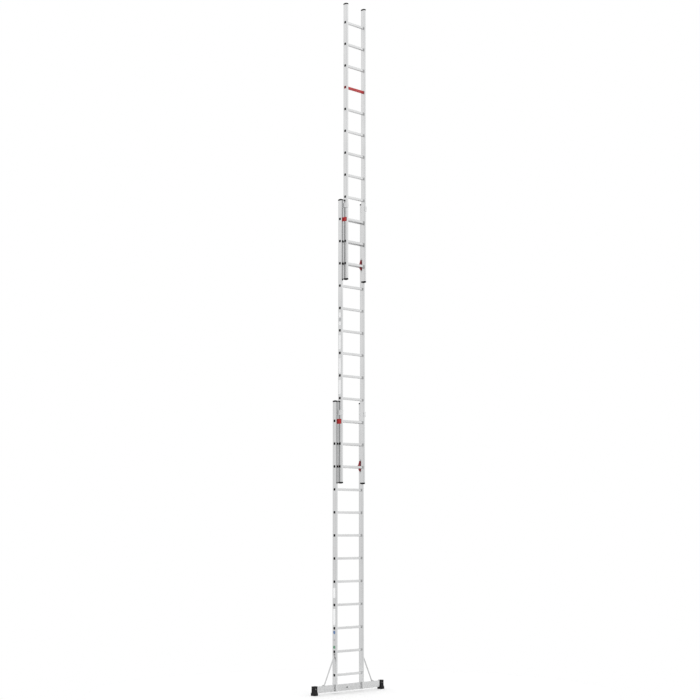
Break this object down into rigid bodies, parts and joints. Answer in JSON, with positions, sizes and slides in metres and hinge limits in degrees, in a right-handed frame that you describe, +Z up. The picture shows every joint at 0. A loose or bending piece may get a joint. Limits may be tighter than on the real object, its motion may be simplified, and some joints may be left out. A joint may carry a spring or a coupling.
{
  "type": "extension ladder",
  "caption": "Push-up extension ladder of nested aluminium sections that slide on guides and hook onto rungs, with a braced stabiliser bar on rubber feet.",
  "frame": {"origin": "on the floor, at the middle of the overall footprint, midway between the rails", "axes": "+Z up the ladder, +X along the rungs, -Y towards the climbing side, where the upper sections stand"},
  "size_m": [1.262, 0.179, 8.584],
  "materials": {
    "rail_aluminium": "extruded, satin",
    "rung_aluminium": "extruded, ribbed tread",
    "bar_aluminium": "extruded, satin",
    "strap_aluminium": "bent flat bar, bright",
    "warning_red": "gloss red",
    "red_plastic": "moulded, satin red",
    "rubber": "moulded, matt black"
  },
  "bodies": {
    "base_section": {"base_rail_left": "rail_aluminium", "base_rail_right": "rail_aluminium", "base_rung_01": "rung_aluminium", "base_rung_02": "rung_aluminium", "base_rung_03": "rung_aluminium", "base_rung_04": "rung_aluminium", "base_rung_05": "rung_aluminium", "base_rung_06": "rung_aluminium", "base_rung_07": "rung_aluminium", "base_rung_08": "rung_aluminium", "base_rung_09": "rung_aluminium", "base_rung_10": "rung_aluminium", "base_rung_11": "rung_aluminium", "base_rung_12": "rung_aluminium", "stabiliser_bar": "bar_aluminium", "foot_left": "rubber", "foot_right": "rubber", "brace_left": "strap_aluminium", "brace_right": "strap_aluminium", "base_guide_left": "strap_aluminium", "base_guide_right": "strap_aluminium"},
    "mid_section": {"mid_rail_left": "rail_aluminium", "mid_rail_right": "rail_aluminium", "mid_rung_01": "rung_aluminium", "mid_rung_02": "rung_aluminium", "mid_rung_03": "rung_aluminium", "mid_rung_04": "rung_aluminium", "mid_rung_05": "rung_aluminium", "mid_rung_06": "rung_aluminium", "mid_rung_07": "rung_aluminium", "mid_rung_08": "rung_aluminium", "mid_rung_09": "rung_aluminium", "mid_rung_10": "rung_aluminium", "mid_rung_11": "rung_aluminium", "mid_rung_12": "rung_aluminium", "mid_stop_left": "red_plastic", "mid_stop_right": "red_plastic", "mid_guide_left": "strap_aluminium", "mid_guide_right": "strap_aluminium"},
    "top_section": {"top_rail_left": "rail_aluminium", "top_rail_right": "rail_aluminium", "top_rung_01": "rung_aluminium", "top_rung_02": "rung_aluminium", "top_rung_03": "rung_aluminium", "top_rung_04": "rung_aluminium", "top_rung_05": "rung_aluminium", "top_rung_06": "rung_aluminium", "top_rung_07": "rung_aluminium", "top_rung_08": "rung_aluminium", "top_rung_09": "warning_red", "top_rung_10": "rung_aluminium", "top_rung_11": "rung_aluminium", "top_rung_12": "rung_aluminium", "top_stop_left": "red_plastic", "top_stop_right": "red_plastic"},
    "mid_hook_left": {"mid_hook_left": "red_plastic"},
    "mid_hook_right": {"mid_hook_right": "red_plastic"},
    "top_hook_left": {"top_hook_left": "red_plastic"},
    "top_hook_right": {"top_hook_right": "red_plastic"}
  },
  "joints": [
    {"name": "mid_section_slide", "type": "slide", "parent": "base_section", "child": "mid_section", "axis": [0, 0, 1], "range_m": [-2.52, 0]},
    {"name": "top_section_slide", "type": "slide", "parent": "mid_section", "child": "top_section", "axis": [0, 0, 1], "range_m": [-2.52, 0]},
    {"name": "mid_hook_left_swing", "type": "hinge", "parent": "mid_section", "child": "mid_hook_left", "pos_m": [-0.1805, 0.027, 2.755], "axis": [0, 0, 1], "range_deg": [-90, 0], "stiffness_Nm_per_rad": 0.1},
    {"name": "mid_hook_right_swing", "type": "hinge", "parent": "mid_section", "child": "mid_hook_right", "pos_m": [0.1805, 0.027, 2.755], "axis": [0, 0, 1], "range_deg": [0, 90], "stiffness_Nm_per_rad": 0.1},
    {"name": "top_hook_left_swing", "type": "hinge", "parent": "top_section", "child": "top_hook_left", "pos_m": [-0.1435, -0.027, 5.275], "axis": [0, 0, 1], "range_deg": [-90, 0], "stiffness_Nm_per_rad": 0.1},
    {"name": "top_hook_right_swing", "type": "hinge", "parent": "top_section", "child": "top_hook_right", "pos_m": [0.1435, -0.027, 5.275], "axis": [0, 0, 1], "range_deg": [0, 90], "stiffness_Nm_per_rad": 0.1}
  ]
}
